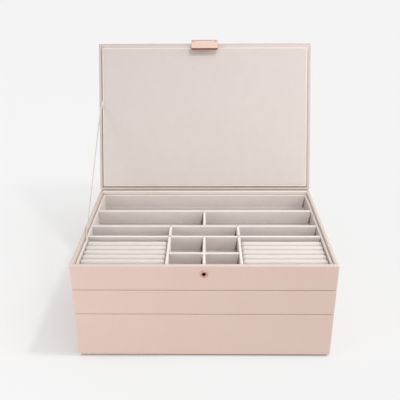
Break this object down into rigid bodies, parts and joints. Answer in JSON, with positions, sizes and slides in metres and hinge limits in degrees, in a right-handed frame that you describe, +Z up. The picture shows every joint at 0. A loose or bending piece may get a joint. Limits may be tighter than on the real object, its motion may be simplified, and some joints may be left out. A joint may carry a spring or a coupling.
{
  "type": "tiered jewellery box",
  "caption": "Wide leatherette jewellery box of stacked lift-off trays with velvet compartments and ring rolls, under a hinged padded lid with a stay ribbon and a press clasp.",
  "frame": {"origin": "middle of the underside, on the flat that rests on the table", "axes": "+X to the right side of the box as seen from the front, -Y to the front with the clasp, +Z up through the stacked trays"},
  "size_m": [0.37, 0.3608, 0.4004],
  "materials": {
    "leatherette": "pale rose leatherette, semi-matt, wrapped over board",
    "base_board": "fibreboard covered in matt rose paper",
    "velvet": "light greige velvet, short pile, over card",
    "padded_velvet": "light greige velvet, short pile, over foam",
    "ribbon": "woven satin-edge ribbon",
    "rose_metal": "polished rose-gold plating",
    "socket_dark": "dull dark plating inside the press socket"
  },
  "bodies": {
    "bottom_tray": {"bottom_shell": "leatherette", "bottom_base": "base_board", "bottom_liner": "velvet", "bottom_cross_divider": "velvet", "bottom_long_divider": "velvet"},
    "middle_tray": {"middle_shell": "leatherette", "middle_base": "base_board", "middle_liner": "velvet", "middle_long_divider": "velvet", "middle_rear_partition": "velvet", "middle_front_partition_left": "velvet", "middle_front_partition_right": "velvet"},
    "top_tray": {"top_shell": "leatherette", "top_base": "base_board", "top_liner": "velvet", "rear_row_divider": "velvet", "second_row_divider": "velvet", "third_row_divider": "velvet", "second_row_partition": "velvet", "third_row_partition_left": "velvet", "third_row_partition_right": "velvet", "ring_bay_divider_left": "velvet", "ring_bay_divider_right": "velvet", "cell_divider_lengthwise": "velvet", "cell_divider_crosswise": "velvet", "ring_roll_left_1": "padded_velvet", "ring_roll_left_2": "padded_velvet", "ring_roll_left_3": "padded_velvet", "ring_roll_left_4": "padded_velvet", "ring_roll_left_5": "padded_velvet", "ring_roll_left_6": "padded_velvet", "ring_roll_right_1": "padded_velvet", "ring_roll_right_2": "padded_velvet", "ring_roll_right_3": "padded_velvet", "ring_roll_right_4": "padded_velvet", "ring_roll_right_5": "padded_velvet", "ring_roll_right_6": "padded_velvet", "socket_eyelet": "rose_metal", "socket_cup": "socket_dark", "hinge_spine": "leatherette", "stay_ribbon": "ribbon"},
    "lid": {"lid_board": "leatherette", "lid_panel": "padded_velvet", "clasp_leaf": "rose_metal"},
    "clasp_flap": {"clasp_pin": "rose_metal", "clasp_flap": "rose_metal", "clasp_stud": "rose_metal"}
  },
  "joints": [
    {"name": "middle_tray_lift", "type": "slide", "parent": "bottom_tray", "child": "middle_tray", "axis": [0, 0, 1], "range_m": [0, 0.06]},
    {"name": "top_tray_lift", "type": "slide", "parent": "middle_tray", "child": "top_tray", "axis": [0, 0, 1], "range_m": [0, 0.06]},
    {"name": "lid_hinge", "type": "hinge", "parent": "top_tray", "child": "lid", "pos_m": [0, 0.1277, 0.1561], "axis": [1, 0, 0], "range_deg": [0, 111.4], "deforming": ["stay_ribbon", "hinge_spine"]},
    {"name": "clasp_turn", "type": "hinge", "parent": "lid", "child": "clasp_flap", "pos_m": [0, 0.22201, 0.39785], "axis": [1, 0, 0], "range_deg": [-48.01, 0]}
  ],
  "couplings": [
    {"joint": "clasp_turn", "follows": "lid_hinge", "ratio": -0.43088}
  ]
}
